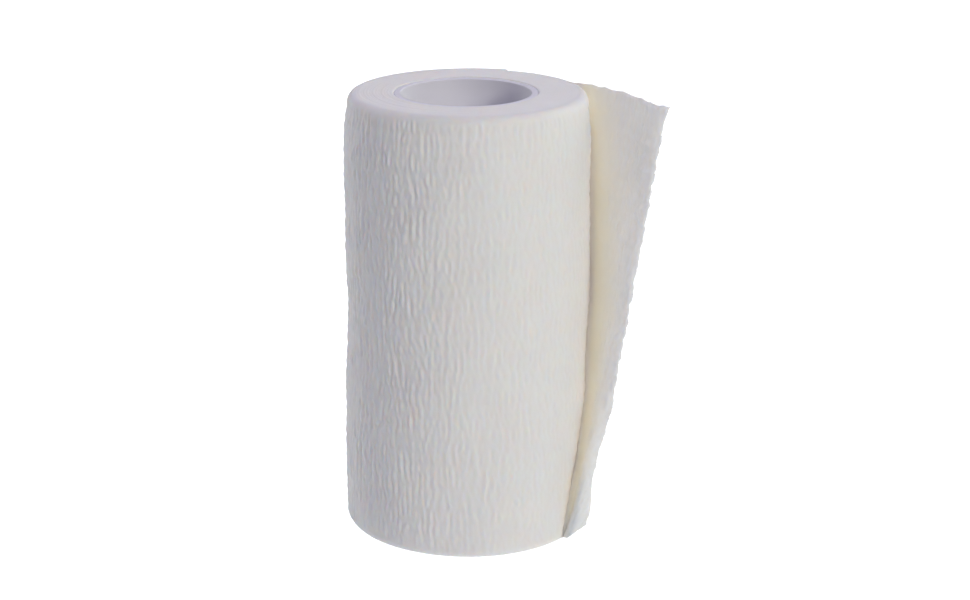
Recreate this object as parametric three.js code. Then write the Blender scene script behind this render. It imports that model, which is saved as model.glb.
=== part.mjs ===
// A cohesive bandage roll standing on its end, with its loose end peeled off at the right.
// Millimetres, +Z up. The viewer stands on the -Y side. Angles are in degrees in plan, from +X
// towards +Y, about the roll's own axis. Seen from above, the cloth winds clockwise as it goes out.
import * as THREE from "three";

// Driving dimensions of the roll.
const CLOTH_WIDTH = 100;
const OUTER_RADIUS = 28.2;
const PLY = 1.0;
const GAP = 0.3;
const RIM_RADIUS = 1.3;
const SEAM_ANGLE = 70;
const SEAM_SHARE = 0.0015;
const TURN = 360;

// The thin tube that the cloth is wound on.
const HOLE_RADIUS = 14.8;
const CORE_WALL = 1.2;
const CORE_RECESS = 0.5;

// How the loose end is peeled: the line where it leaves the roll leans forward as it goes down,
// and the fold there is tight at the foot and wide at the head.
const PEEL = { footAngle: -36, headAngle: 32, lean: 1.15 };
const FOLD_RADIUS = { foot: 1.1, head: 8, opening: 1.6 };
const FOOT_RISE = 3.4;

// The cut edge of the loose end, by height along the cloth's width: how far it stands to the
// right of the axis and behind it, and how far the free cloth bows away from the roll.
const CUT_EDGE = [
  { height: 0, right: 27.3, behind: -15.8, bow: 0.1 },
  { height: 14, right: 28.6, behind: -17.2, bow: 0.3 },
  { height: 25, right: 30.2, behind: -17.7, bow: 0.4 },
  { height: 48, right: 34.4, behind: -17.9, bow: 0.6 },
  { height: 75, right: 38.7, behind: -17.6, bow: 0.7 },
  { height: 100, right: 42.9, behind: -15.8, bow: 0.8 },
];

// Soft bulges and dents of the wound cloth, each a smooth hill around a place on the side.
const BULGES = [
  { angle: 182, height: 50, swell: -0.45, across: 26, along: 9 },
  { angle: 190, height: 18, swell: 0.4, across: 50, along: 18 },
  { angle: 120, height: 78, swell: -0.3, across: 40, along: 22 },
  { angle: 262, height: 62, swell: 0.15, across: 34, along: 26 },
  { angle: 290, height: 18, swell: 0.3, across: 34, along: 20 },
  { angle: 20, height: 40, swell: 0.2, across: 30, along: 24 },
  { angle: 350, height: 0, swell: -0.7, across: 34, along: 16 },
];
const HEAD_DRAW_IN = 0.8;
const HEAD_DRAW_REACH = 7;
const FOOT_SPREAD = 0.3;
const OFF_CENTRE = 0.7;

// Steps of the faceted surfaces.
const ROLL_COLUMNS = 80;
const RIM_STEPS = 3;
const WALL_STEPS = 12;
const SHEET_ROWS = 25;
const STUCK_STEPS = 24;
const FOLD_STEPS = 8;
const FREE_STEPS = 8;
const CORE_SIDES = 72;

const CLOTH_FINISH = { color: 0xe4e2dc, roughness: 0.95, metalness: 0 };
const CORE_FINISH = { color: 0xdcdad8, roughness: 0.6, metalness: 0 };

const radians = THREE.MathUtils.degToRad;
const mix = THREE.MathUtils.lerp;

/** A point in plan at an angle and radius about the axis. */
function planPoint(angle, radius) {
  return new THREE.Vector2(Math.cos(radians(angle)), Math.sin(radians(angle))).multiplyScalar(radius);
}

/** Share of a full clockwise turn from the seam to an angle, from 0 up to 1. */
function turned(angle) {
  return THREE.MathUtils.euclideanModulo(SEAM_ANGLE - angle, TURN) / TURN;
}

/**
 * How far the side stands out or in at a place: the sum of the bulges, a foot that spreads, a head
 * that is drawn in, and a winding that lies a little to the right of its core.
 */
function swell(angle, height) {
  const drawnIn = HEAD_DRAW_IN * Math.exp(-(((CLOTH_WIDTH - height) / HEAD_DRAW_REACH) ** 2));
  const spread = FOOT_SPREAD * (1 - height / CLOTH_WIDTH);
  const aside = OFF_CENTRE * Math.cos(radians(angle));
  return BULGES.reduce((sum, bulge) => {
    const turn = THREE.MathUtils.euclideanModulo(angle - bulge.angle + TURN / 2, TURN) - TURN / 2;
    const across = turn / bulge.across;
    const along = (height - bulge.height) / bulge.along;
    return sum + bulge.swell * Math.exp(-(across ** 2) - along ** 2);
  }, spread + aside - drawnIn);
}

/** Radius of the wound side: it grows by one ply and its gap in a full turn from the seam. */
function woundRadius(share) {
  return OUTER_RADIUS - (PLY + GAP) * (1 - share);
}

/** One closed profile of the roll, as radius and height pairs, at an angle and wound radius. */
function rollProfile(angle, radius) {
  const inner = HOLE_RADIUS + CORE_WALL + GAP;
  const profile = [[inner, 0]];
  for (let i = 0; i <= RIM_STEPS; i++) {
    const a = radians((90 * i) / RIM_STEPS);
    profile.push([
      radius + swell(angle, 0) - RIM_RADIUS * (1 - Math.sin(a)),
      RIM_RADIUS * (1 - Math.cos(a)),
    ]);
  }
  for (let i = 1; i < WALL_STEPS; i++) {
    const height = mix(RIM_RADIUS, CLOTH_WIDTH - RIM_RADIUS, i / WALL_STEPS);
    profile.push([radius + swell(angle, height), height]);
  }
  for (let i = 0; i <= RIM_STEPS; i++) {
    const a = radians((90 * i) / RIM_STEPS);
    profile.push([
      radius + swell(angle, CLOTH_WIDTH) - RIM_RADIUS * (1 - Math.cos(a)),
      CLOTH_WIDTH - RIM_RADIUS * (1 - Math.sin(a)),
    ]);
  }
  profile.push([inner, CLOTH_WIDTH]);
  return profile;
}

/** A geometry from a flat list of points and a list of corner triples. */
function geometryOf(points, corners) {
  const geometry = new THREE.BufferGeometry();
  geometry.setAttribute("position", new THREE.Float32BufferAttribute(points, 3));
  geometry.setIndex(corners);
  geometry.computeVertexNormals();
  return geometry;
}

/** The wound cloth: profiles set round the axis, with a steep step of one ply at the seam. */
function rollGeometry() {
  const points = [];
  let rows = 0;
  for (let column = 0; column < ROLL_COLUMNS; column++) {
    const share = (column / (ROLL_COLUMNS - 1)) * (1 - SEAM_SHARE);
    const angle = SEAM_ANGLE - TURN * share;
    const profile = rollProfile(angle, woundRadius(share));
    rows = profile.length;
    for (const [radius, height] of profile) {
      const place = planPoint(angle, radius);
      points.push(place.x, place.y, height);
    }
  }
  const corners = [];
  for (let column = 0; column < ROLL_COLUMNS; column++) {
    const next = (column + 1) % ROLL_COLUMNS;
    for (let row = 0; row < rows; row++) {
      const above = (row + 1) % rows;
      const a = column * rows + row;
      const b = next * rows + row;
      const c = next * rows + above;
      const d = column * rows + above;
      corners.push(a, c, b, a, d, c);
    }
  }
  return geometryOf(points, corners);
}

/** The cut edge at a height, on a smooth curve through the rows of its table. */
function cutEdge(height) {
  const heights = CUT_EDGE.map((row) => row.height);
  const places = CUT_EDGE.map((row) => [row.right, row.behind, row.bow]);
  const curve = new THREE.CubicInterpolant(heights, places.flat(), places[0].length);
  const [right, behind, bow] = curve.evaluate(height);
  return { place: new THREE.Vector2(right, behind), bow };
}

/**
 * The middle line of the loose end at one height, as points with their outward normals. It lies on
 * the roll down to the peel line, turns outward round the fold, and runs free to the cut edge.
 */
function sheetLine(height) {
  const up = height / CLOTH_WIDTH;
  const peelAngle = mix(PEEL.footAngle, PEEL.headAngle, up ** PEEL.lean);
  const foldRadius = mix(FOLD_RADIUS.foot, FOLD_RADIUS.head, up ** FOLD_RADIUS.opening);
  const clearAngle = THREE.MathUtils.radToDeg(GAP / OUTER_RADIUS);
  const rootAngle = SEAM_ANGLE - clearAngle;
  const line = [];
  for (let i = 0; i <= STUCK_STEPS; i++) {
    const angle = mix(rootAngle, peelAngle, i / STUCK_STEPS);
    const radius = woundRadius(turned(angle)) + swell(angle, height) + GAP + PLY / 2;
    line.push({ place: planPoint(angle, radius), normal: planPoint(angle, 1), freed: 0 });
  }

  const outward = planPoint(peelAngle, 1);
  const onward = new THREE.Vector2(outward.y, -outward.x);
  const centre = line[STUCK_STEPS].place.clone().addScaledVector(outward, foldRadius);
  const edge = cutEdge(height);
  const reach = edge.place.clone().sub(centre);
  const lean = Math.atan2(reach.dot(outward), reach.dot(onward));
  const fold = lean + Math.asin(foldRadius / reach.length());
  const facing = (turn) =>
    outward.clone().multiplyScalar(Math.cos(turn)).addScaledVector(onward, -Math.sin(turn));
  const freeNormal = facing(fold);
  const leave = centre.clone().addScaledVector(freeNormal, -foldRadius);
  const foldLength = fold * foldRadius;
  const freeLength = leave.distanceTo(edge.place);
  const freedAt = (length) => length / (foldLength + freeLength);
  for (let i = 1; i <= FOLD_STEPS; i++) {
    const share = i / FOLD_STEPS;
    const normal = facing(fold * share);
    const place = centre.clone().addScaledVector(normal, -foldRadius);
    line.push({ place, normal, freed: freedAt(foldLength * share) });
  }
  for (let i = 1; i <= FREE_STEPS; i++) {
    const share = i / FREE_STEPS;
    const place = leave.clone().lerp(edge.place, share);
    place.addScaledVector(freeNormal, edge.bow * Math.sin(Math.PI * share));
    line.push({ place, normal: freeNormal, freed: freedAt(foldLength + freeLength * share) });
  }
  return line;
}

/** The loose end: its middle line at each height, given the thickness of one ply. */
function looseEndGeometry() {
  const points = [];
  let columns = 0;
  for (let row = 0; row <= SHEET_ROWS; row++) {
    const height = (CLOTH_WIDTH * row) / SHEET_ROWS;
    const rise = FOOT_RISE * (1 - height / CLOTH_WIDTH) ** 2;
    const line = sheetLine(height);
    columns = line.length;
    for (const side of [0.5, -0.5]) {
      for (const { place, normal, freed } of line) {
        const at = place.clone().addScaledVector(normal, side * PLY);
        points.push(at.x, at.y, height + rise * freed);
      }
    }
  }
  const ring = 2 * columns;
  const around = [];
  for (let i = 0; i < columns; i++) around.push(i);
  for (let i = columns - 1; i >= 0; i--) around.push(columns + i);

  const corners = [];
  for (let row = 0; row < SHEET_ROWS; row++) {
    for (let i = 0; i < ring; i++) {
      const a = row * ring + around[i];
      const b = row * ring + around[(i + 1) % ring];
      corners.push(a, a + ring, b + ring, a, b + ring, b);
    }
  }
  const top = SHEET_ROWS * ring;
  for (let i = 0; i + 1 < columns; i++) {
    const outer = i;
    const inner = columns + i;
    corners.push(outer, outer + 1, inner + 1, outer, inner + 1, inner);
    corners.push(top + outer, top + inner + 1, top + outer + 1, top + outer, top + inner, top + inner + 1);
  }
  return geometryOf(points, corners);
}

/** The thin tube that lines the hole, a little shorter than the cloth is wide. */
function coreGeometry() {
  const outer = HOLE_RADIUS + CORE_WALL;
  const top = CLOTH_WIDTH - CORE_RECESS;
  const profile = [
    [HOLE_RADIUS, 0],
    [outer, 0],
    [outer, top],
    [HOLE_RADIUS, top],
    [HOLE_RADIUS, 0],
  ].map(([radius, height]) => new THREE.Vector2(radius, height));
  return new THREE.LatheGeometry(profile, CORE_SIDES).rotateX(Math.PI / 2);
}

/** A named piece with its own plain material. */
function piece(name, geometry, finish) {
  const mesh = new THREE.Mesh(geometry, new THREE.MeshStandardMaterial(finish));
  mesh.name = name;
  return mesh;
}

const bandage = new THREE.Group();
bandage.add(piece("roll", rollGeometry(), CLOTH_FINISH));
bandage.add(piece("loose_end", looseEndGeometry(), CLOTH_FINISH));
bandage.add(piece("core", coreGeometry(), CORE_FINISH));

// The origin is the middle of the whole object's box, on the surface that it stands on.
const box = new THREE.Box3().setFromObject(bandage);
const middle = box.getCenter(new THREE.Vector3());
bandage.position.set(-middle.x, -middle.y, -box.min.z);

export default bandage;
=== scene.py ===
# %% [markdown]
# # A roll of cohesive bandage with its loose end peeled off
#
# The real thing is a strip of crinkled white nonwoven cloth, 100 mm wide, with thin elastic yarns
# laid along its length. It clings to itself, so it is wound on a plain tube with no clip. The roll
# stands on its end, and the last few centimetres are peeled off at the right.
#
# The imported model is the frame: every piece below is made in its metres, where its solids stand.

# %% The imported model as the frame
import math

import bpy
import numpy as np
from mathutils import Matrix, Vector


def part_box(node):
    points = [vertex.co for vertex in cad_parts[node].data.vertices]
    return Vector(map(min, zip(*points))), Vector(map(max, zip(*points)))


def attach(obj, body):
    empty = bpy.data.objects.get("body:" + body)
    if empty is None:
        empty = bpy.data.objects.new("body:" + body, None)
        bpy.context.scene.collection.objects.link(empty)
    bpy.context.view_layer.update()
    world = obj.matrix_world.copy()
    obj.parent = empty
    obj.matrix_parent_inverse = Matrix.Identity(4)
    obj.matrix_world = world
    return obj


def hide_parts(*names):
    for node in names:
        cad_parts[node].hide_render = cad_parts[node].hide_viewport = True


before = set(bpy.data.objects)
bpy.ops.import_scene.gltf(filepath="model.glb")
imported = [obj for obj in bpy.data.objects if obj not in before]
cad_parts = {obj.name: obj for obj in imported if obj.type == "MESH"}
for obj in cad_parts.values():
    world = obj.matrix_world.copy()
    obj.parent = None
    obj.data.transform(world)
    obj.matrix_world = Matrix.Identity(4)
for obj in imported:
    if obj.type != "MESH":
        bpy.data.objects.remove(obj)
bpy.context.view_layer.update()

# %% [markdown]
# ## Sizes
#
# Up to the studio, all lengths are millimetres and all angles degrees in plan, about the roll's own
# axis, from +X towards +Y. The axis, the cloth's width and the tube's size are read off the frame.
# Only the tube's wall and its top are a little larger here, because its rim shows broad and nearly
# level with the cloth. Seen from above, the cloth winds clockwise as it goes out, and one turn adds
# one ply to the radius.

# %% Driving sizes
MM = 0.001


def frame_box(node):
    """The lowest and highest corner of a node of the frame, in millimetres."""
    return [np.array(corner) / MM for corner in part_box(node)]


core_low, core_high = frame_box("core")
AXIS = (core_low + core_high)[:2] / 2
CORE_RADIUS = (core_high[0] - core_low[0]) / 2
CORE_RAISED = 0.3
CORE_TOP = core_high[2] + CORE_RAISED
CORE_WALL = 1.5
CLOTH_WIDTH = frame_box("roll")[1][2]

OUTER_RADIUS = 28.2
TURN_GROWTH = 1.3
SEAM_ANGLE = 70
RIM_RADIUS = 1.8
WINDING_RADIUS = OUTER_RADIUS - TURN_GROWTH / 2
CIRCUMFERENCE = math.tau * WINDING_RADIUS
print("axis at", AXIS, "cloth", CLOTH_WIDTH, "wide, once round is", round(CIRCUMFERENCE, 1))

# %% [markdown]
# ## The crinkle
#
# The cloth is joined to its elastic yarns while they are stretched. When they let go, it gathers in
# small wrinkles across its length, which here stand upright. Each wrinkle is under 2 mm wide and
# straight, and most are only 2 to 5 mm long, because the yarns pin the cloth down and break it up.
#
# A wave texture would be too even, and plain noise has no direction. Noise whose spectrum is shaped
# has a pitch and a direction: random numbers are kept only near the wrinkles' pitch along the cloth,
# and the faster they change up it, the weaker they are made. That leaves a few long wrinkles among
# many short ones. A second noise makes small patches stronger or weaker. The cloth carries one such
# field over its last turn and its loose end, so the crinkle runs on where the pieces meet.

# %% The crinkle as one field on the cloth
WRINKLE_PITCH = 1.68
WRINKLE_SPREAD = 0.62
WRINKLE_LENGTH = 1.4
WRINKLE_HEIGHT = 0.07
WRINKLE_LIMIT = 3
PATCH_SIZE, PATCH_STRENGTH = 2.5, 0.25
SLOW_LENGTH, SLOW_HEIGHT = 16, 0.12
WRINKLE_SEED, SLOW_SEED, PATCH_SEED = 11, 12, 13
FIELD_MARGIN = 4
FIELD_START, FIELD_END = -CIRCUMFERENCE - FIELD_MARGIN, 70
FIELD_STEP, FIELD_RISE = 0.15, 0.4
SPARE_ROWS = 8


def shaped_noise(seed, weight):
    """Random numbers over the cloth whose spectrum is multiplied by weight(along, up), two arrays
    of cycles per millimetre, and whose spread is then set to 1."""
    along = int((FIELD_END - FIELD_START) / FIELD_STEP)
    up = int(CLOTH_WIDTH / FIELD_RISE) + SPARE_ROWS
    noise = np.random.default_rng(seed).standard_normal((up, along))
    cycles_along = np.fft.rfftfreq(along, FIELD_STEP)[None, :]
    cycles_up = np.fft.fftfreq(up, FIELD_RISE)[:, None]
    shaped = np.fft.irfft2(np.fft.rfft2(noise) * weight(cycles_along, cycles_up), s=noise.shape)
    return shaped / shaped.std()


def wrinkle_weight(along, up):
    """A bell round one cycle per wrinkle pitch along the cloth, over a root that grows with the
    cycles up it: the weight of noise that is alike over about the wrinkles' length."""
    across = np.exp(-(((along * WRINKLE_PITCH - 1) / WRINKLE_SPREAD) ** 2))
    return across / np.sqrt(1 + (math.tau * up * WRINKLE_LENGTH) ** 2)


def bell_weight(length_along, length_up):
    """A bell round zero both ways, so that only waves longer than these lengths are left."""
    return lambda along, up: np.exp(-((along * length_along) ** 2) - (up * length_up) ** 2)


SLOW_WAVES = shaped_noise(SLOW_SEED, bell_weight(SLOW_LENGTH, SLOW_LENGTH))
patches = PATCH_STRENGTH * shaped_noise(PATCH_SEED, bell_weight(PATCH_SIZE, PATCH_SIZE))
patched = shaped_noise(WRINKLE_SEED, wrinkle_weight) * np.exp(patches)
WRINKLES = WRINKLE_LIMIT * np.tanh(patched / WRINKLE_LIMIT)
print("crinkle field", WRINKLES.shape, "its spread", round(float(WRINKLES.std()), 2))

# %% [markdown]
# The field is read between its points. The elastic yarns pinch the cloth in a little along level
# lines and flatten the wrinkles there, and on the roll's front left the cloth is gathered tighter.

# %% Reading the crinkle at a place
YARN_PITCH = 2.75
YARN_PINCH = 0.1
YARN_FLATTENS = 0.3
YARN_WANDER = (  # height, length, start
    (0.25, 7.3, 0),
    (0.2, 17.1, 1),
)
TIGHT_AT, TIGHT_REACH, TIGHT_GAIN = -75, 13, 0.75


def read_field(field, along, height):
    """The field at places on the cloth, blended between its four nearest points."""
    x = np.clip((along - FIELD_START) / FIELD_STEP, 0, field.shape[1] - 2)
    y = np.clip(height / FIELD_RISE, 0, field.shape[0] - 2)
    column, row = x.astype(int), y.astype(int)
    x, y = x - column, y - row
    low = field[row, column] * (1 - x) + field[row, column + 1] * x
    high = field[row + 1, column] * (1 - x) + field[row + 1, column + 1] * x
    return low * (1 - y) + high * y


def yarn_pull(along, height):
    """1 on an elastic yarn, 0 midway between two: a cosine up the cloth whose phase wanders by a
    few tenths of a millimetre along it."""
    wander = sum(rise * np.sin(along / length + start) for rise, length, start in YARN_WANDER)
    return 0.5 + 0.5 * np.cos(math.tau * (height + wander) / YARN_PITCH)


def crinkle(along, height):
    """How far the cloth stands out at a place: wrinkles that are lower on the yarns and higher in a
    bell round the tight place, the yarns' own pinch, and a slow unevenness. Also the wrinkles
    alone, from -1 in a valley to 1."""
    along, height = np.broadcast_arrays(along, height)
    wrinkle = read_field(WRINKLES, along, height)
    pull = yarn_pull(along, height)
    tight = 1 + TIGHT_GAIN * np.exp(-(((along - TIGHT_AT) / TIGHT_REACH) ** 2))
    lift = WRINKLE_HEIGHT * tight * wrinkle * (1 - YARN_FLATTENS * pull) - YARN_PINCH * pull**2
    return lift + SLOW_HEIGHT * read_field(SLOW_WAVES, along, height), np.tanh(wrinkle)


print("a wrinkle stands out by about", WRINKLE_HEIGHT, "to", WRINKLE_HEIGHT * (1 + TIGHT_GAIN))

# %% [markdown]
# ## Meshes from grids
#
# Each piece is a surface of two parameters, worked out as whole arrays. One helper numbers the four
# corners of every cell of a grid, and another puts points, faces and what the materials read into a
# mesh: the cloth's own coordinates as a UV map, and a few shades as attributes.


# %% Grid helpers
def cells(ids):
    """The four corners of each cell of a grid of point numbers. They face outwards where the rows
    run up the outside and the columns run clockwise seen from above."""
    a, b, c, d = ids[:-1, :-1], ids[:-1, 1:], ids[1:, 1:], ids[1:, :-1]
    return np.stack([corner.ravel() for corner in (a, d, c, b)], axis=1)


def out_of_grid(points):
    """Unit normals of such a grid: its step up crossed with its step along."""
    normal = np.cross(np.gradient(points, axis=0), np.gradient(points, axis=1))
    return normal / np.linalg.norm(normal, axis=-1, keepdims=True)


def make_piece(name, points, faces, cloth_place=None, **shades):
    """A smooth mesh object of those points, in millimetres about the roll's axis. cloth_place is
    its UV map, also in millimetres, and each shade is an attribute with a value at each point."""
    used, faces = np.unique(faces, return_inverse=True)
    faces = faces.reshape(-1, 4)
    placed = (points.reshape(-1, 3)[used] + [*AXIS, 0]) * MM
    mesh = bpy.data.meshes.new(name)
    mesh.from_pydata(placed.tolist(), [], faces.tolist())
    mesh.shade_smooth()
    if cloth_place is not None:
        layer = mesh.uv_layers.new(name="cloth")
        corners = cloth_place.reshape(-1, 2)[used][faces.ravel()]
        layer.data.foreach_set("uv", corners.astype(np.float32).ravel())
    for shade, values in shades.items():
        attribute = mesh.attributes.new(shade, "FLOAT", "POINT")
        attribute.data.foreach_set("value", values.ravel()[used].astype(np.float32))
    piece = bpy.data.objects.new(name, mesh)
    bpy.context.collection.objects.link(piece)
    print(f"{name}: {len(placed)} points, {2 * len(faces)} triangles")
    return piece


def plan(angle, radius):
    """Points in plan at angles and radii, x and y last."""
    turn = np.radians(angle)
    return np.stack(np.broadcast_arrays(np.cos(turn) * radius, np.sin(turn) * radius), axis=-1)


def raised(flat, height):
    """Plan points given their heights, so that they have three coordinates."""
    height = np.broadcast_to(height, flat.shape[:-1])
    return np.concatenate([flat, height[..., None]], axis=-1)


def numbered(rows, columns):
    """Point numbers of a grid, row by row."""
    return np.arange(rows * columns).reshape(rows, columns)


def mix(start, end, share):
    """The straight mix of two values."""
    return start + (end - start) * share


# %% [markdown]
# ## The wound form
#
# The roll isn't a true cylinder. It was pressed in the hand and on the shelf, so its side has
# shallow dents and bulges, its head is drawn in a little and its foot spreads. The radius also grows
# by one ply in each turn, which is why the side ends in a step under the loose end.

# %% The form of the side
BULGES = (  # angle, height, swell, across, along
    (182, 50, -0.45, 26, 9),
    (190, 18, 0.4, 50, 18),
    (120, 78, -0.3, 40, 22),
    (262, 62, 0.15, 34, 26),
    (290, 18, 0.3, 34, 20),
    (20, 40, 0.2, 30, 24),
    (350, 0, -0.7, 34, 16),
    (2, 90, -0.4, 16, 8),
)
HEAD_DRAW_IN = 0.8
HEAD_DRAW_REACH = 7
FOOT_SPREAD = 0.3
OFF_CENTRE = 0.7


def swell(angle, height):
    """How far the side stands out or in: a sum of smooth hills, a drawn-in head, a spread foot,
    and a winding that lies a little to the right of its tube."""
    total = FOOT_SPREAD * (1 - height / CLOTH_WIDTH) + OFF_CENTRE * np.cos(np.radians(angle))
    total = total - HEAD_DRAW_IN * np.exp(-(((CLOTH_WIDTH - height) / HEAD_DRAW_REACH) ** 2))
    for at, up, most, across, along in BULGES:
        turn = (angle - at + 180) % 360 - 180
        total = total + most * np.exp(-((turn / across) ** 2) - ((height - up) / along) ** 2)
    return total


def side_radius(share, height):
    """Radius of the wound side at a share of a clockwise turn from the seam, where one more turn
    of cloth adds TURN_GROWTH."""
    return OUTER_RADIUS - TURN_GROWTH * (1 - share) + swell(SEAM_ANGLE - 360 * share, height)


RIM_ROWS = 5
SIDE_ROWS = 153


def side_profile():
    """Heights from the foot's rim up the side to the head's rim, and how far each row lies inside
    the side: a quarter round, a straight and a quarter round."""
    bend = np.radians(np.linspace(0, 90, RIM_ROWS + 1))
    rise, inset = RIM_RADIUS * (1 - np.cos(bend)), RIM_RADIUS * (1 - np.sin(bend))
    straight = np.linspace(RIM_RADIUS, CLOTH_WIDTH - RIM_RADIUS, SIDE_ROWS + 1)[1:-1]
    heights = np.concatenate([rise, straight, CLOTH_WIDTH - rise[::-1]])
    insets = np.concatenate([inset, np.zeros(len(straight)), inset[::-1]])
    return heights[:, None], insets[:, None]


HEIGHTS, INSETS = side_profile()
print(len(HEIGHTS), "rows up the cloth")

# %% [markdown]
# ## The outer turn
#
# This is the cloth that the eye meets first: one turn of it, from the step under the loose end
# round the front, the left and the back, up to the seam. It is the densest mesh, because the
# crinkle on it is real relief with a cell every 0.3 mm along the cloth, so it also shows on the
# outline. Its rows go on over the rims and close inside the roll, where nothing is seen.
#
# Two of its shades say where the loose end meets it: cream, for a narrow band of creamy tint where
# it was just peeled off, partly the latex's own tint and partly painted warm light and shade of the
# crevice beside the loose end, and touching, for the cloth that lies under another ply.

# %% Making the outer turn
TURN_COLUMNS = 600
PEEL_FOOT, PEEL_HEAD, PEEL_LEAN = -35.5, 2, 0.94
PEEL_TOP, PEEL_TOP_POWER = 23, 8
WEB_REACH = 2.0
TINT_STRENGTH, TINT_WIDTH, TINT_START, TINT_FOOT = 0.6, 0.9, 1, 12
TOUCH_WIDTH = 0.8
TUCK_IN, TUCK_UNDER, TUCK_SLOPE = 0.6, 0.08, 0.5
RIM_FADE = 3


def peel_angle(height):
    """Where the loose end leaves the roll: at its right side near the head, further forward the
    nearer the foot, along a quarter of a sine, and further back only in the top few centimetres,
    by a high power of the height."""
    up = np.clip(height / CLOTH_WIDTH, 0, 1)
    rise = np.sin(math.pi / 2 * up**PEEL_LEAN)
    return mix(PEEL_FOOT, PEEL_HEAD, rise) + PEEL_TOP * up**PEEL_TOP_POWER


def smooth_step(value):
    """0 below 0, 1 above 1, and an even S between."""
    value = np.clip(value, 0, 1)
    return value * value * (3 - 2 * value)


def ring_of(rows, columns):
    """A grid of point numbers that closes both ways round: its first column and row come again."""
    ids = numbered(rows, columns)
    ids = np.concatenate([ids, ids[:, :1]], axis=1)
    return np.concatenate([ids, ids[:1]])


def make_outer_turn():
    """Radius by angle and height, plus the crinkle along the normal, which fades over the rims. One
    more row at each end is tucked under the inner turns, so that no open edge shows. The tint and
    the touch are bells of the distance past the web, and the tint starts at the peel line; the tint
    is partly the latex's and partly painted warm light and shade of the crevice."""
    heights = np.concatenate([[[TUCK_UNDER]], HEIGHTS, [[CLOTH_WIDTH - TUCK_UNDER]]])
    tucked = [[RIM_RADIUS + TUCK_IN]]
    insets = np.concatenate([tucked, INSETS, tucked])
    share = np.linspace(0, 1, TURN_COLUMNS)[None, :]
    angle = SEAM_ANGLE - 360 * share
    smooth = raised(plan(angle, side_radius(share, heights) - insets), heights)
    along = (share - 1) * CIRCUMFERENCE
    lift, wrinkle = crinkle(along, heights)
    fade = smooth_step(np.minimum(heights, CLOTH_WIDTH - heights) / RIM_FADE)
    past_web = np.radians(peel_angle(heights) - angle) * OUTER_RADIUS - WEB_REACH
    # A band of cream on the roll beside the web: partly the latex's tint, partly painted warm light
    # and shade of the crevice there.
    tint_and_shade = TINT_STRENGTH * np.exp(-((np.maximum(past_web, 0) / TINT_WIDTH) ** 2))
    tint_and_shade = tint_and_shade * smooth_step((past_web + WEB_REACH) / TINT_START + 1)
    points = smooth + out_of_grid(smooth) * (lift * fade)[..., None]
    return make_piece(
        "outer_turn",
        points,
        cells(ring_of(len(heights), TURN_COLUMNS)),
        np.stack(np.broadcast_arrays(along, heights), axis=-1),
        # The wrinkle shade sets painted light on crests and painted shade in valleys.
        wrinkle=wrinkle * fade,
        cream=tint_and_shade * smooth_step(heights / TINT_FOOT),
        touching=np.exp(-((np.maximum(past_web, 0) / TOUCH_WIDTH) ** 2)),
    )


outer_turn = make_outer_turn()

# %% [markdown]
# ## The inner turns
#
# On the two ends the cut edges of all the turns lie side by side. From a step away they read as one
# soft matt face. Close to, each ply is a low rounded ridge, a little higher or lower than its
# neighbours, and rippled by its wrinkles. The ridges follow the winding: they lie on a spiral. Two
# of them share each turn's growth, because the frame's ply is thicker than the real cloth. The
# mesh's first and last columns stand a hair's breadth apart, so that a narrow strip closes the
# step between them.

# %% Making the inner turns
END_PLY = TURN_GROWTH / 2
END_ROWS = 62
END_GROOVE = 0.028
END_UNEVEN = 0.015
END_WAVES = (  # height, pace, start
    (1, 2.3, 0),
    (0.7, 5.1, 1),
)
END_RIPPLE, RIPPLE_SPREAD = 0.08, 8
SEAM_SHARE = 0.001
BORE_CLEARANCE = 0.03
BORE_ROUND = 0.25


def end_relief(share, radius, edge):
    """How far a ply's edge lies below the flat end: a round ridge for each ply of the spiral, its
    own slow rise and fall along the spiral, and a rounded edge at the bore. It fades out at edge,
    where the outer turn begins. Also a shade from -1 between the ridges to 1 on them, which the
    finish turns into painted shade in the grooves and painted light on the ridges."""
    arc = (share - 1) * math.tau * radius
    field_row = (radius * RIPPLE_SPREAD) % (CLOTH_WIDTH - FIELD_MARGIN)
    ripple = END_RIPPLE * read_field(WRINKLES, arc, field_row)
    phase = (radius + ripple - CORE_RADIUS) / END_PLY - 2 * share
    ply = np.floor(phase)
    ridge = 4 * (phase - ply) * (1 - phase + ply)
    place = ply + 2 * share
    waves = sum(rise * (np.sin(pace * place + start) - 1) for rise, pace, start in END_WAVES)
    near_edge = np.clip((edge - radius) / END_PLY, 0, 1)
    below = (END_GROOVE * (ridge - 1) + END_UNEVEN * waves) * near_edge
    bend = np.clip(1 - (radius - CORE_RADIUS - BORE_CLEARANCE) / BORE_ROUND, 0, 1)
    return below - BORE_ROUND * (1 - np.sqrt(1 - bend**2)), (2 * ridge - 1) * near_edge


def make_inner_turns():
    """Two annuli joined through the bore and under the outer turn: the foot's rows run outwards
    and the head's rows run inwards."""
    share = np.linspace(0, 1 - SEAM_SHARE, TURN_COLUMNS // 2)[None, :]
    angle = SEAM_ANGLE - 360 * share
    out = np.linspace(0, 1, END_ROWS)[:, None]
    faces, places, shades = [], [], []
    for height, flip in ((0, 1), (CLOTH_WIDTH, -1)):
        edge = side_radius(share, height) - RIM_RADIUS
        radius = mix(CORE_RADIUS + BORE_CLEARANCE, edge + TUCK_IN, out[::flip])
        below, ridge = end_relief(share, radius, edge)
        below = below - TUCK_SLOPE * np.maximum(radius - edge, 0)
        faces.append(raised(plan(angle, radius), height - flip * below))
        places.append(np.stack(np.broadcast_arrays((share - 1) * CIRCUMFERENCE, radius), axis=-1))
        # The ridge shade paints shade into the grooves between plies and light onto their ridges.
        shades.append(ridge)
    shades = np.concatenate(shades)
    return make_piece(
        "inner_turns",
        np.concatenate(faces),
        cells(ring_of(2 * END_ROWS, TURN_COLUMNS // 2)),
        np.concatenate(places),
        wrinkle=shades,
        cream=np.zeros(shades.shape),
        touching=np.zeros(shades.shape),
    )


inner_turns = make_inner_turns()

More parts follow.
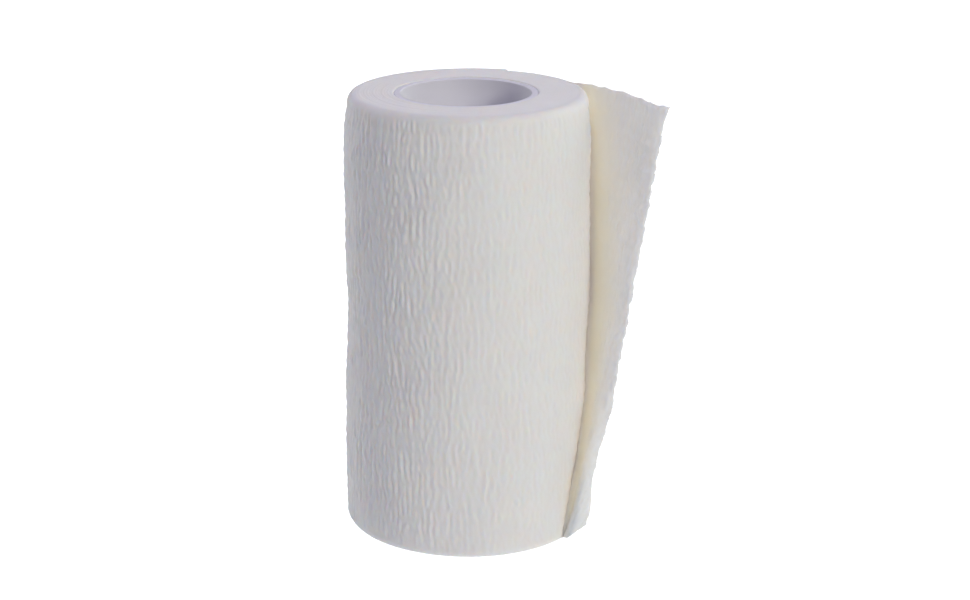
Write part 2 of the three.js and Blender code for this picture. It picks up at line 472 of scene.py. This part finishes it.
# %% [markdown]
# ## The loose end
#
# The last stretch of the cloth is one sheet. It lies on the roll from the seam down to the peel
# line, turns outwards there, and runs free to its straight cut edge. At the head the fold is wide
# and the cloth leaves almost straight on. At the foot it is tight, and the cloth lies back on
# itself, so its inner side faces out.
#
# Cloth simulation could drape it, but this cloth is stiff with wrinkles and clings to itself: its
# form is set by the hand that peeled it. So it is laid down by rule: at each height an arc on the
# roll, a fold, and two runs that meet in a crease near the foot and in one straight line above it.
# Lengths are measured along the cloth, so that nothing stretches.
#
# Two short tables say where the cut edge and the crease stand, and a smooth curve is drawn through
# each. The scissors left a nearly straight edge that swells a little between the yarns.

# %% Where the cut edge and the crease stand
CUT_EDGE = np.array(  # height, right, behind, bow
    [
        (0, 27.3, -15.8, 0.0),
        (14, 28.6, -16.7, 0.1),
        (25, 29.9, -16.9, 0.4),
        (48, 33.5, -17.6, 1.2),
        (75, 37.8, -17.6, 1.9),
        (100, 42.2, -15.8, 2.2),
    ]
)
CREASE = np.array(  # height, right, behind
    [(0, 22.5, -18.3), (5, 23.8, -18.0), (8, 24.7, -17.8), (13, 26.1, -17.5), (22, 27.4, -16.8)]
)
CUT_EDGE_DEGREE, CREASE_DEGREE = 4, 2
SCALLOP = 0.12
EDGE_WAVES = (  # height, pace, start
    (0.1, 0.9, 0),
    (0.06, 2.1, 1),
    (0.05, 3.7, 2),
)
TIP_REACH, TIP_SIZE = 0.1, 1.1
NECK_DEPTH, NECK_AT, NECK_SIZE = 0.3, 5, 3


def smooth_curve(table, column, degree):
    """A column of a table as a smooth function of height: the polynomial closest to its places."""
    return np.polynomial.Polynomial.fit(table[:, 0], table[:, column], degree)(HEIGHTS)


def scallops(along):
    """How far the cut edge stands out: it swells between two yarns, three waves make it uneven, and
    its top corner was drawn out to a small point by the cut, with a neck below."""
    down = CLOTH_WIDTH - HEIGHTS
    swelled = SCALLOP * (0.5 - yarn_pull(along, HEIGHTS))
    for rise, pace, start in EDGE_WAVES:
        swelled = swelled + rise * np.sin(HEIGHTS * pace + start)
    tip = TIP_REACH * np.exp(-((down / TIP_SIZE) ** 2))
    return swelled + tip - NECK_DEPTH * np.exp(-(((down - NECK_AT) / NECK_SIZE) ** 2))


cut_places = [smooth_curve(CUT_EDGE, column, CUT_EDGE_DEGREE) for column in (1, 2)]
print("the cut edge stands", cut_places[0][[0, -1], 0].round(1), "right at the foot and the head")

# %% [markdown]
# The sheet's middle line is worked out for all heights at once. Its direction after the fold is the
# tangent from the fold's circle to the crease. The last few millimetres curl outwards, and the
# free cloth hangs a little higher at the foot.

# %% Laying the sheet down
SHEET_COLUMNS = 236
EDGE_COLUMNS = np.array([0.0027, 0.0014, 0.0005, 0])
HALF_PLY = 0.5
SHEET_THICKNESS = 0.8
FOLD_FOOT, FOLD_HEAD, FOLD_OPENING = 0.8, 8, 1.6
FOOT_RISE = 3.4
CREASE_SHARE = 0.6
CREASE_END, CREASE_FADE = 20, 18
CREASE_ROUND = 0.12
BOW_START = 2
CURL_WIDTH, CURL_TURN, CURL_MOST = 5, 42, 1.3
CURL_FOOT, CURL_FADE = 8, 25
HEM_WAVE, HEM_WAVE_LENGTH, HEM_WAVE_DRIFT = 0.3, 1.7, 4.1
HEM_WAVE_START, HEM_WAVE_POWER = 0.25, 16
WEB_SHARE, WEB_LIMIT = 0.7, 4


def dot(a, b):
    """The dot product of plan vectors, kept as a column beside them."""
    return (a * b).sum(-1)


def soft_step(value, rounding):
    """The value above 0 and 0 below, with the corner between them rounded."""
    return (value + np.sqrt(value**2 + rounding**2)) / 2


def heading(start, end):
    """The distance between two places and the direction from one to the other."""
    distance = np.linalg.norm(end - start, axis=-1)
    return distance, (end - start) / distance[..., None]


def loose_end_form():
    """The middle of the sheet: at each height an arc on the roll, an arc of the fold's radius that
    turns outwards until it points at the crease, and two runs, to the crease and on to the cut
    edge, with a slight bow and an outward curl. Also the lengths along it, of the stuck part, to
    the web's end, to the crease and in all, and two plan places that the web is drawn by."""
    up = HEIGHTS / CLOTH_WIDTH
    peel = peel_angle(HEIGHTS)
    bend = mix(FOLD_FOOT, FOLD_HEAD, up**FOLD_OPENING)
    middle = TURN_GROWTH - HALF_PLY
    outward = plan(peel, 1.0)
    onward = np.stack([outward[..., 1], -outward[..., 0]], axis=-1)
    apex = plan(peel, side_radius((SEAM_ANGLE - peel) / 360, HEIGHTS))
    centre = apex + outward * (middle + bend)[..., None]

    def facing(angle):
        """The way from the sheet to the fold's centre once the cloth has turned by an angle."""
        angle = angle[..., None]
        return outward * np.cos(angle) - onward * np.sin(angle)

    def aimed_at(target):
        """How far the fold turns to point at a place, and where it ends."""
        reach = target - centre
        lean = np.arctan2(dot(reach, outward), dot(reach, onward))
        turn = lean + np.arcsin(bend / np.linalg.norm(reach, axis=-1))
        return turn, centre - facing(turn) * bend[..., None]

    def bowed(past):
        """How far the runs stand outwards at a length past the fold."""
        bow = smooth_curve(CUT_EDGE, 3, CUT_EDGE_DEGREE)
        bow = bow * np.sin(math.pi * np.clip(past / run, 0, 1))
        return bow * (1 - np.exp(-np.maximum(past, 0) / BOW_START))

    edge = np.stack(cut_places, axis=-1)
    sharp = [smooth_curve(CREASE, column, CREASE_DEGREE) for column in (1, 2)]
    sharp = np.stack(sharp, axis=-1)
    straight = mix(aimed_at(edge)[1], edge, CREASE_SHARE)
    fade = smooth_step((HEIGHTS - CREASE_END) / CREASE_FADE)[..., None]
    crease = mix(sharp, straight, fade)
    turn, leave = aimed_at(crease)
    first, ahead = heading(leave, crease)
    second, beyond = heading(crease, edge)
    run = first + second
    stuck = np.radians(SEAM_ANGLE - peel) * WINDING_RADIUS
    creased = stuck + turn * bend + first
    whole = creased + second
    cut = whole + scallops(whole)

    share = np.linspace(0, 1, SHEET_COLUMNS - len(EDGE_COLUMNS) + 1)
    share = np.concatenate([share[:-1], 1 - EDGE_COLUMNS])
    along = cut * share[None, :]
    on_roll = SEAM_ANGLE - np.degrees(along / WINDING_RADIUS)
    roll_share = (SEAM_ANGLE - on_roll) / 360
    lying = plan(on_roll, side_radius(roll_share, HEIGHTS) + middle)
    turned = np.clip((along - stuck) / bend, 0, turn)
    folding = centre - facing(turned) * bend[..., None]
    past = along - stuck - turn * bend
    rounding = CREASE_ROUND * first
    before, after = soft_step(first - past, rounding), soft_step(past - first, rounding)
    running = crease - ahead * before[..., None] + beyond * after[..., None]
    curl = np.clip(1 + (past - run) / CURL_WIDTH, 0, CURL_MOST) ** 2
    curl = curl * smooth_step((HEIGHTS - CURL_FOOT) / CURL_FADE)
    stand_off = bowed(past) + 0.5 * math.radians(CURL_TURN) * CURL_WIDTH * curl
    running = running + facing(turn) * stand_off[..., None]
    flat = np.where((past > 0)[..., None], running, folding)
    flat = np.where((along < stuck)[..., None], lying, flat)
    freed = np.clip((along - stuck) / (whole - stuck), 0, 1)
    wave = np.sin(along / HEM_WAVE_LENGTH + np.sin(along / HEM_WAVE_DRIFT))
    wave = HEM_WAVE * np.abs(wave) * smooth_step(freed / HEM_WAVE_START)
    height = HEIGHTS + FOOT_RISE * (1 - up) ** 2 * freed - wave * up**HEM_WAVE_POWER

    web_run = np.minimum(first * WEB_SHARE, WEB_LIMIT)
    on_wall = bowed(web_run) - (SHEET_THICKNESS - HALF_PLY)
    on_wall = leave + ahead * web_run[..., None] + facing(turn) * on_wall[..., None]
    web_end = stuck + turn * bend + web_run
    return raised(flat, height), along, (stuck, web_end, creased, cut), (apex, on_wall)


# %% [markdown]
# Where this cloth is pulled apart from itself, fibres of both plies hold on to each other and fill
# the wedge between them. A separate piece for that web would leave two thin dark lines where it
# meets the cloth. So the inner face of the sheet itself is drawn across the wedge, from just under
# the crinkled roll to a place on the first run.

# %% The web in the wedge
WEB_SUNK = 0.15
WEB_FILL_FOOT, WEB_FILL, WEB_FILL_FADE = 1.15, 0.85, 25
WEB_BLEND = 1 / 3


def webbed(along, stuck, web_end, apex, on_wall, inner, open_share):
    """The inner face across the wedge: a curve of second degree from a place on the roll past the
    peel line to one on the first run, pulled from the wedge's apex towards their middle. Also the
    share it counts for, which fades over its last third."""
    peel = peel_angle(HEIGHTS)
    foot = peel - np.degrees(WEB_REACH / OUTER_RADIUS)
    share = (SEAM_ANGLE - foot) / 360
    relief = crinkle((share - 1) * CIRCUMFERENCE, HEIGHTS)[0]
    start = plan(foot, side_radius(share, HEIGHTS) + relief - WEB_SUNK)
    fill = mix(WEB_FILL_FOOT, WEB_FILL, smooth_step(HEIGHTS / WEB_FILL_FADE))
    pull = mix(apex, (start + on_wall) / 2, fill[..., None])
    step = (along - stuck) / (web_end - stuck)
    t = np.clip(step, 0, 1)[..., None]
    curve = start * (1 - t) ** 2 + pull * 2 * t * (1 - t) + on_wall * t**2
    counts = np.where(step > 0, 1 - smooth_step(1 + (step - 1) / WEB_BLEND), 0) * open_share
    return raised(curve, inner[..., 2]), counts[..., None]


# %% [markdown]
# The sheet is a closed solid: its middle gets the crinkle and then two faces. The free cloth is thin
# and its crinkle loose. The part on the roll is thicker, so that it reaches into the turn below, and
# its hems are rounded and set down like the roll's rims. Besides the wrinkles, three shades go with
# it: the inner face is cream up to the crease, partly the latex's tint and partly painted shade of
# the wedge and the fold beside the roll, plies that touch let no light spread, and the free cloth is
# thin.

# %% Making the loose end
STUCK_THICKNESS = 1.25
HEM_ROUND = 0.4
HEM_SUNK = 0.7
SEATED_BACK, SEATED_FADE = 4, 10
LEAVE_WIDTH = 4
SLACK_FOLD, SLACK_EDGE = 0.12, 2.2
PEEL_DIP, PEEL_DIP_REACH = 0.35, 1.5
CREAM_START, CREAM_PAST, CREAM_REACH = 0.5, 0.5, 10
CREAM_EDGE_FOOT, CREAM_EDGE_HEAD, CREAM_EDGE_FADE = 7, 2.5, 50
CREAM_LOSS = 0.5
HELD_WIDTH, ROOT_WIDTH = 2, 1.5
CLOSE_SHARE = 0.5
THIN_WIDTH = 6


def make_loose_end():
    """The middle surface with the crinkle on it, given two faces along its normals. The faces
    round towards each other at the hems and the cut edge, and share their last row of points."""
    smooth, along, (stuck, web_end, creased, cut), (apex, on_wall) = loose_end_form()
    normal = out_of_grid(smooth)
    lift, wrinkle = crinkle(along, HEIGHTS)
    seated = 1 - smooth_step((along - stuck + SEATED_BACK) / SEATED_FADE)
    free = smooth_step((along - stuck) / (cut - stuck))
    leaving = smooth_step((along - stuck) / LEAVE_WIDTH)
    slack = mix(SLACK_FOLD, SLACK_EDGE, free)
    slack = mix(1, slack, smooth_step((along - stuck) / LEAVE_WIDTH + 0.5))

    rounding = mix(HEM_ROUND, RIM_RADIUS, seated)
    hem = np.clip(1 - np.minimum(HEIGHTS, CLOTH_WIDTH - HEIGHTS) / rounding, 0, 1)
    cut_hem = np.clip(1 - (cut - along) / HEM_ROUND, 0, 1)
    open_share = np.sqrt((1 - hem**2) * (1 - cut_hem**2))
    middle = smooth + normal * (lift * slack * mix(1, open_share, seated))[..., None]
    dip = PEEL_DIP * np.exp(-(((along - stuck) / PEEL_DIP_REACH) ** 2))
    inside = HALF_PLY - dip - mix(STUCK_THICKNESS, SHEET_THICKNESS, leaving)
    meeting = mix((HALF_PLY + inside) / 2, HALF_PLY - RIM_RADIUS, seated)
    outer = middle + normal * mix(meeting, HALF_PLY, open_share)[..., None]
    inner = middle + normal * mix(meeting, inside, open_share)[..., None]
    sunk = HEM_SUNK * seated * hem**2 * np.sign(HEIGHTS - CLOTH_WIDTH / 2)
    outer[..., 2] -= sunk
    inner[..., 2] -= sunk
    inner = mix(inner, *webbed(along, stuck, web_end, apex, on_wall, inner, open_share))

    rows, columns = along.shape
    outer_ids = numbered(rows, columns)
    inner_ids = outer_ids + rows * columns
    inner_ids[[0, -1]] = outer_ids[[0, -1]]
    inner_ids[:, -1] = outer_ids[:, -1]
    root = np.stack([inner_ids[:, 0], outer_ids[:, 0]], axis=1)
    faces = [cells(outer_ids), cells(inner_ids)[:, ::-1], cells(root)[1:-1]]
    # Cream on the inner face up to the crease: partly the latex's tint, partly painted shade of the
    # wedge and the fold beside the roll.
    reach = np.minimum(creased - stuck + CREAM_PAST, CREAM_REACH)
    edge_power = mix(CREAM_EDGE_FOOT, CREAM_EDGE_HEAD, smooth_step(HEIGHTS / CREAM_EDGE_FADE))
    cream = np.exp(-((np.maximum(along - stuck, 0) / reach) ** edge_power))
    cream = cream * smooth_step((along - stuck) / CREAM_START + 1)
    close = 1 - smooth_step((along - stuck) / (CLOSE_SHARE * (web_end - stuck)))
    cream = cream * (1 - CREAM_LOSS * close)
    held = hem * (1 - smooth_step((along - stuck) / HELD_WIDTH))
    held = np.maximum(held, np.exp(-((along / ROOT_WIDTH) ** 2)))
    thin = smooth_step((along - stuck) / THIN_WIDTH + 1)
    place = np.stack(np.broadcast_arrays(along, HEIGHTS), axis=-1)
    piece = make_piece(
        "peeled_end",
        np.concatenate([outer, inner]),
        np.concatenate(faces),
        np.concatenate([place, place]),
        # The wrinkle shade sets painted light on crests and painted shade in valleys.
        wrinkle=np.concatenate([wrinkle * slack, -wrinkle * slack]),
        cream=np.concatenate([0 * cream, cream]),
        touching=np.concatenate([held, close]),
        thin=np.concatenate([thin, thin]),
    )
    print("its length at the foot, the middle and the head", cut[[0, len(cut) // 2, -1]].ravel())
    return piece, middle[:, -1], middle[:, -1] - middle[:, -6], float(cut.mean())


peeled_end, edge_places, edge_aims, cut_length = make_loose_end()
print("the loose end is", round(cut_length, 1), "mm long from the seam to its cut edge")

# %% [markdown]
# ## The ends of the elastic yarns
#
# Scissors cut the cloth and the yarns together, and then the yarns' ends stand out of the cut edge
# by less than a millimetre. They are short tapered tubes, all made at once: a row of places down
# the edge, rings along each yarn, and points round each ring.

# %% Making the yarn ends
YARN_RADIUS = 0.11
YARN_ROOT = 0.5
YARN_REACH = 0.45
YARN_SHORTEST, YARN_LONGEST = 0.5, 1.5
YARN_DROOP = 0.25
YARN_TIP, YARN_TAPER_POWER = 0.0001, 6
YARN_RINGS, YARN_SIDES = 6, 8
YARN_SEED = 5


def make_yarn_ends():
    """Rings of a tapering radius round a line that leaves the edge and droops to one side."""
    random = np.random.default_rng(YARN_SEED)
    heights = np.arange(YARN_PITCH, CLOTH_WIDTH - 1, YARN_PITCH)
    at = [np.interp(heights, HEIGHTS[:, 0], edge_places[:, i]) for i in range(3)]
    aim = [np.interp(heights, HEIGHTS[:, 0], edge_aims[:, i]) for i in range(3)]
    at, aim = np.stack(at, axis=-1), np.stack(aim, axis=-1)
    aim = aim / np.linalg.norm(aim, axis=-1, keepdims=True)
    side = np.cross(aim, [0, 0, 1.0])
    rise = np.cross(side, aim)
    reach = YARN_REACH * random.uniform(YARN_SHORTEST, YARN_LONGEST, len(heights))[:, None]
    droop = random.uniform(-YARN_DROOP, YARN_DROOP, (2, len(heights), 1, 1))

    step = np.linspace(0, 1, YARN_RINGS)[None, :]
    out = mix(-YARN_ROOT, reach, step)[..., None]
    line = at[:, None] + aim[:, None] * out
    line = line + (side[:, None] * droop[0] + rise[:, None] * droop[1]) * step[..., None] ** 2
    thick = YARN_RADIUS * np.sqrt(1 + YARN_TIP - step**YARN_TAPER_POWER)[..., None]
    around = np.linspace(0, math.tau, YARN_SIDES + 1)[:-1][None, None, :]
    rings = side[:, None, None] * np.cos(around)[..., None]
    rings = rings + rise[:, None, None] * np.sin(around)[..., None]
    points = line[:, :, None] + rings * thick[..., None]
    ids = np.arange(points.shape[0] * YARN_RINGS * YARN_SIDES).reshape(points.shape[:3])
    ids = np.concatenate([ids, ids[:, :, :1]], axis=2)
    faces = [cells(yarn) for yarn in ids]
    # The yarn ends take the crests' painted light all over.
    wrinkle = np.ones(points.shape[:3])
    return make_piece("yarn_ends", points, np.concatenate(faces), wrinkle=wrinkle)


yarn_ends = make_yarn_ends()

# %% [markdown]
# ## The core
#
# A thin smooth tube, a little shorter than the cloth is wide. Only its inside and its upper rim
# show. The solid's 72 flat sides would catch the light as bands, so a finer one stands for it,
# turned from a profile with softly rounded rims.

# %% Making the core
CORE_SIDES, CORE_BEND_ROWS = 240, 5
CORE_ROUND = 0.25


def make_core_tube():
    """A closed profile of radius and height, four quarter rounds at the corners of the wall's
    cross-section, carried round the axis."""
    bend = np.radians(np.linspace(0, 90, CORE_BEND_ROWS))
    near, far = np.cos(bend) * CORE_ROUND, np.sin(bend) * CORE_ROUND
    out, inn = CORE_RADIUS - CORE_ROUND, CORE_RADIUS - CORE_WALL + CORE_ROUND
    low, high = CORE_ROUND, CORE_TOP - CORE_ROUND
    radius = np.concatenate([out + far, out + near, inn - far, inn - near])
    height = np.concatenate([low - near, high + far, high + near, low - far])
    angle = -np.linspace(0, 360, CORE_SIDES + 1)[None, :-1]
    points = raised(plan(angle, radius[:, None]), height[:, None])
    return make_piece("core_tube", points, cells(ring_of(len(radius), CORE_SIDES)))


core_tube = make_core_tube()

# %% [markdown]
# ## Finishes
#
# Two real materials show. The cloth is a spunbonded nonwoven, matt, with a haze of fine fibres, and
# thin enough that light passes through it: that is why the peeled end glows a little from behind.
# The tube is moulded from a plain satin plastic.
#
# Colours are sRGB hex values turned to linear once. Patterns read the cloth's own UV map, which is
# in millimetres, so a fibre's size can be written as it is.


# %% Finish helpers
def linear(sheet_hex):
    """An sRGB hex colour as linear red, green, blue and alpha."""
    parts = np.array([sheet_hex >> 16 & 255, sheet_hex >> 8 & 255, sheet_hex & 255]) / 255
    low, high = parts / 12.92, ((parts + 0.055) / 1.055) ** 2.4
    return (*np.where(parts < 0.04045, low, high).tolist(), 1.0)


def add_node(tree, kind, inputs=(), **settings):
    """A new node with its own settings, its sockets set to values or linked to other sockets."""
    node = tree.nodes.new(kind)
    for name, value in settings.items():
        setattr(node, name, value)
    for socket, value in dict(inputs).items():
        if isinstance(value, bpy.types.NodeSocket):
            tree.links.new(value, node.inputs[socket])
        else:
            node.inputs[socket].default_value = value
    return node


def new_finish(name):
    """An empty node material and its tree."""
    material = bpy.data.materials.new(name)
    material.use_nodes = True
    material.node_tree.nodes.clear()
    return material, material.node_tree


# %% [markdown]
# ### Nonwoven cloth
#
# Its white is warm and a little lighter on the wrinkles' crests and a shade deeper in their valleys:
# painted light on the crests and painted shade in the valleys, standing for the light that bounces
# from fibre to fibre. Where the ply was peeled off, its inner side carries a creamy tint, partly the
# tint of the latex that makes it cling and partly painted shade of the crevice between the roll and
# the loose end. Fine fibres lie mostly along the wrinkles and show as a slight grain in the bump.
#
# Light enters the cloth and comes out near by. Subsurface scattering does this: over half a
# millimetre on the roll, and over three in the thin free ply, which then glows with the light
# behind it. Where two plies touch, that light would be lost inside and leave a dark line, so it is
# turned down there.

# %% The cloth's finish
CREST_PAINTED_LIGHT = 0xF8F6F2
VALLEY_PAINTED_SHADE = 0xF6F3EE
CREAM_TINT_AND_SHADE = 0xF1E6D1
CREST_FULL = 0.6
FIBRE_WIDTH, FIBRE_LENGTH = 0.3, 1.1
FIBRE_STRENGTH, FIBRE_RELIEF = 0.35, 0.08
MOTTLE_SIZE, MOTTLE_DARK, MOTTLE_LIGHT = 9, 0.965, 1.03
SPREAD_WOUND, SPREAD_THIN = 0.45, 3


def nonwoven_cloth():
    """Crest and valley colours, painted light and painted shade, mixed by the wrinkle shade, then
    cream, partly painted crevice shade, by its shade, then a faint mottle; fibres in the bump;
    inside, light spreads further where the cloth is thin."""
    material, tree = new_finish("nonwoven_cloth")
    wrinkle = add_node(tree, "ShaderNodeAttribute", attribute_name="wrinkle").outputs["Fac"]
    cream = add_node(tree, "ShaderNodeAttribute", attribute_name="cream").outputs["Fac"]
    touching = add_node(tree, "ShaderNodeAttribute", attribute_name="touching").outputs["Fac"]
    place = add_node(tree, "ShaderNodeUVMap", uv_map="cloth").outputs["UV"]
    # The wrinkle shade gives the crests painted light and the valleys painted shade.
    crest_light_share = add_node(
        tree, "ShaderNodeMapRange", {"Value": wrinkle, "From Min": -1, "From Max": CREST_FULL}
    ).outputs["Result"]
    wrinkle_shaded_white = add_node(
        tree,
        "ShaderNodeMix",
        {0: crest_light_share, 6: linear(VALLEY_PAINTED_SHADE), 7: linear(CREST_PAINTED_LIGHT)},
        data_type="RGBA",
    ).outputs[2]
    # The cream tint is partly the latex's and partly painted shade of the crevice by the loose end.
    tinted_and_shaded = add_node(
        tree, "ShaderNodeMix", {0: cream, 6: wrinkle_shaded_white, 7: linear(CREAM_TINT_AND_SHADE)}, data_type="RGBA"
    ).outputs[2]
    mottle = add_node(
        tree, "ShaderNodeTexNoise", {"Vector": place, "Scale": 1 / MOTTLE_SIZE, "Detail": 3}
    ).outputs["Fac"]
    shade = add_node(
        tree,
        "ShaderNodeMapRange",
        {"Value": mottle, "To Min": MOTTLE_DARK, "To Max": MOTTLE_LIGHT},
    ).outputs["Result"]
    colour = add_node(
        tree, "ShaderNodeVectorMath", {0: tinted_and_shaded, 1: shade}, operation="MULTIPLY"
    ).outputs[0]
    stretched = add_node(
        tree,
        "ShaderNodeMapping",
        {"Vector": place, "Scale": (1 / FIBRE_WIDTH, 1 / FIBRE_LENGTH, 1)},
    ).outputs["Vector"]
    fibres = add_node(
        tree, "ShaderNodeTexNoise", {"Vector": stretched, "Scale": 1, "Detail": 4}
    ).outputs["Fac"]
    bump = add_node(
        tree,
        "ShaderNodeBump",
        {"Height": fibres, "Strength": FIBRE_STRENGTH, "Distance": FIBRE_RELIEF * MM},
    ).outputs["Normal"]
    thin = add_node(tree, "ShaderNodeAttribute", attribute_name="thin").outputs["Fac"]
    spread = add_node(
        tree,
        "ShaderNodeMapRange",
        {"Value": thin, "To Min": SPREAD_WOUND * MM, "To Max": SPREAD_THIN * MM},
    ).outputs["Result"]
    entering = add_node(
        tree, "ShaderNodeMath", {0: 1.0, 1: touching}, operation="SUBTRACT"
    ).outputs[0]
    surface = add_node(
        tree,
        "ShaderNodeBsdfPrincipled",
        {
            "Base Color": colour,
            "Roughness": 0.95,
            "IOR": 1.45,
            "Specular IOR Level": 0.2,
            "Sheen Weight": 0.1,
            "Sheen Roughness": 0.6,
            "Subsurface Weight": entering,
            "Subsurface Radius": (1.2, 1.0, 0.8),
            "Subsurface Scale": spread,
            "Normal": bump,
        },
    ).outputs["BSDF"]
    add_node(tree, "ShaderNodeOutputMaterial", {"Surface": surface})
    return material


cloth_finish = nonwoven_cloth()
print(cloth_finish.name, "has", len(cloth_finish.node_tree.nodes), "nodes")

# %% [markdown]
# ### Satin plastic
#
# A moulded tube, cool white beside the cloth, with the faint length marks of the mould and a soft
# gloss on its rim.

# %% The tube's finish
TUBE_WHITE = 0xF6F5FC
MARKS_EACH_METRE = (900, 900, 30)
TUBE_SMOOTH, TUBE_ROUGH = 0.42, 0.55


def satin_plastic():
    """One colour, a roughness that changes a little in patches, and long shallow mould marks."""
    material, tree = new_finish("satin_plastic")
    place = add_node(tree, "ShaderNodeTexCoord").outputs["Object"]
    drawn = add_node(
        tree, "ShaderNodeMapping", {"Vector": place, "Scale": MARKS_EACH_METRE}
    ).outputs["Vector"]
    marks = add_node(
        tree, "ShaderNodeTexNoise", {"Vector": drawn, "Scale": 1, "Detail": 2}
    ).outputs["Fac"]
    rough = add_node(
        tree, "ShaderNodeMapRange", {"Value": marks, "To Min": TUBE_SMOOTH, "To Max": TUBE_ROUGH}
    ).outputs["Result"]
    bump = add_node(
        tree, "ShaderNodeBump", {"Height": marks, "Strength": 0.1, "Distance": 0.03 * MM}
    ).outputs["Normal"]
    surface = add_node(
        tree,
        "ShaderNodeBsdfPrincipled",
        {"Base Color": linear(TUBE_WHITE), "Roughness": rough, "IOR": 1.49, "Normal": bump},
    ).outputs["BSDF"]
    add_node(tree, "ShaderNodeOutputMaterial", {"Surface": surface})
    return material


tube_finish = satin_plastic()
print(tube_finish.name, "has", len(tube_finish.node_tree.nodes), "nodes")

# %% [markdown]
# ## Giving the pieces their finish and their place in the frame
#
# The outer and inner turns stand for the wound solid, the peeled end for the sheet, and the tube
# for the tube. Nothing here moves by itself, so all ride on the one body.

# %% Joining the pieces to the frame
for piece, finish, slot in (
    (outer_turn, cloth_finish, "bandage_cloth"),
    (inner_turns, cloth_finish, "bandage_cloth"),
    (peeled_end, cloth_finish, "bandage_cloth"),
    (yarn_ends, cloth_finish, "bandage_cloth"),
    (core_tube, tube_finish, "core_tube"),
):
    piece.data.materials.append(finish)
    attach(piece, "root")

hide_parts("roll")
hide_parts("roll")
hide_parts("loose_end")
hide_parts("core")

# %% [markdown]
# ## The camera
#
# The camera stands half a metre in front and looks down by 17 degrees, so the round top shows as a
# flat ellipse and the sides draw together a little towards the foot.

# %% Setting up the camera
CAMERA_PLACE = (8, -500, 206)
CAMERA_DOWN = 17.146
CAMERA_LEFT = 0.437
CAMERA_LENS = 85.54

camera = bpy.data.objects.new("camera", bpy.data.cameras.new("camera"))
bpy.context.collection.objects.link(camera)
camera.location = Vector((CAMERA_PLACE + np.array([*AXIS, 0])) * MM)
down, left = math.radians(CAMERA_DOWN), math.radians(CAMERA_LEFT)
aim = Vector((-math.sin(left) * math.cos(down), math.cos(left) * math.cos(down), -math.sin(down)))
camera.rotation_euler = aim.to_track_quat("-Z", "Y").to_euler()
camera.data.lens = CAMERA_LENS
bpy.context.scene.camera = camera
print("the camera stands at", [round(metres, 3) for metres in camera.location])

# %% [markdown]
# ## The studio
#
# White paper below and a white surround, with sizes in metres. The light at the front right is the
# smallest, so it is the one that rakes across the wrinkles on the left half of the roll, where they
# show best. Two larger ones behind the roll brighten its sides and shine through the peeled end,
# and one above lights the wound end. The paper glows a little and fills the shadows from below.

# %% Floor and lights
FLOOR_SIZE = 6
PAPER_WHITE = 0xF4F4F4
PAPER_GLOW = 0x878C93
PAPER_SEEN = 0xFFFFFF
LIGHT_DISTANCE = 0.9
LIGHTS = (  # name, side angle from the front to the right, height angle, size, watts, colour
    ("front_right", 40, 24, 0.2, 2.26, 0xFFFFEC),
    ("behind_left", -130, 24, 0.55, 2.6, 0xFFFFFF),
    ("behind_right", 130, 24, 0.55, 2.6, 0xF6FDFB),
    ("above", 20, 75, 0.55, 3.3, 0xECE3FF),
)


def white_floor():
    """A paper that also glows by itself, more to the eye than onto the roll, so that it stays
    white where the lights fall off."""
    half = FLOOR_SIZE / 2
    mesh = bpy.data.meshes.new("floor")
    corners = [(-half, -half, 0), (half, -half, 0), (half, half, 0), (-half, half, 0)]
    mesh.from_pydata(corners, [], [(0, 1, 2, 3)])
    floor = bpy.data.objects.new("floor", mesh)
    bpy.context.collection.objects.link(floor)
    material, tree = new_finish("white_paper")
    seen = add_node(tree, "ShaderNodeLightPath").outputs["Is Camera Ray"]
    glow = add_node(
        tree,
        "ShaderNodeMix",
        {0: seen, 6: linear(PAPER_GLOW), 7: linear(PAPER_SEEN)},
        data_type="RGBA",
    ).outputs[2]
    surface = add_node(
        tree,
        "ShaderNodeBsdfPrincipled",
        {
            "Base Color": linear(PAPER_WHITE),
            "Roughness": 0.9,
            "Emission Color": glow,
            "Emission Strength": 1,
        },
    ).outputs["BSDF"]
    add_node(tree, "ShaderNodeOutputMaterial", {"Surface": surface})
    mesh.materials.append(material)
    return floor


def place_light(name, side, rise, size, watts, colour):
    """A square light on a sphere round the middle of the roll, turned to it and not itself seen."""
    side, rise = math.radians(side), math.radians(rise)
    away = Vector(
        (math.sin(side) * math.cos(rise), -math.cos(side) * math.cos(rise), math.sin(rise))
    )
    data = bpy.data.lights.new(name, "AREA")
    data.size, data.energy, data.color = size, watts, linear(colour)[:3]
    light = bpy.data.objects.new(name, data)
    bpy.context.collection.objects.link(light)
    light.location = Vector((*AXIS * MM, CLOTH_WIDTH * MM / 2)) + away * LIGHT_DISTANCE
    light.rotation_euler = away.to_track_quat("Z", "Y").to_euler()
    light.visible_camera = False


def white_surround():
    """A world that is white to the eye and gives no light: its strength is 1 only where seen."""
    world = bpy.data.worlds.new("surround")
    world.use_nodes = True
    tree = world.node_tree
    tree.nodes.clear()
    seen = add_node(tree, "ShaderNodeLightPath").outputs["Is Camera Ray"]
    glow = add_node(
        tree, "ShaderNodeBackground", {"Color": (1, 1, 1, 1), "Strength": seen}
    ).outputs["Background"]
    add_node(tree, "ShaderNodeOutputWorld", {"Surface": glow})
    bpy.context.scene.world = world


white_floor()
for light in LIGHTS:
    place_light(*light)
white_surround()
bpy.context.scene.view_settings.view_transform = "Standard"
print(len(LIGHTS), "lights of", [watts for *_, watts, _ in LIGHTS], "watts")
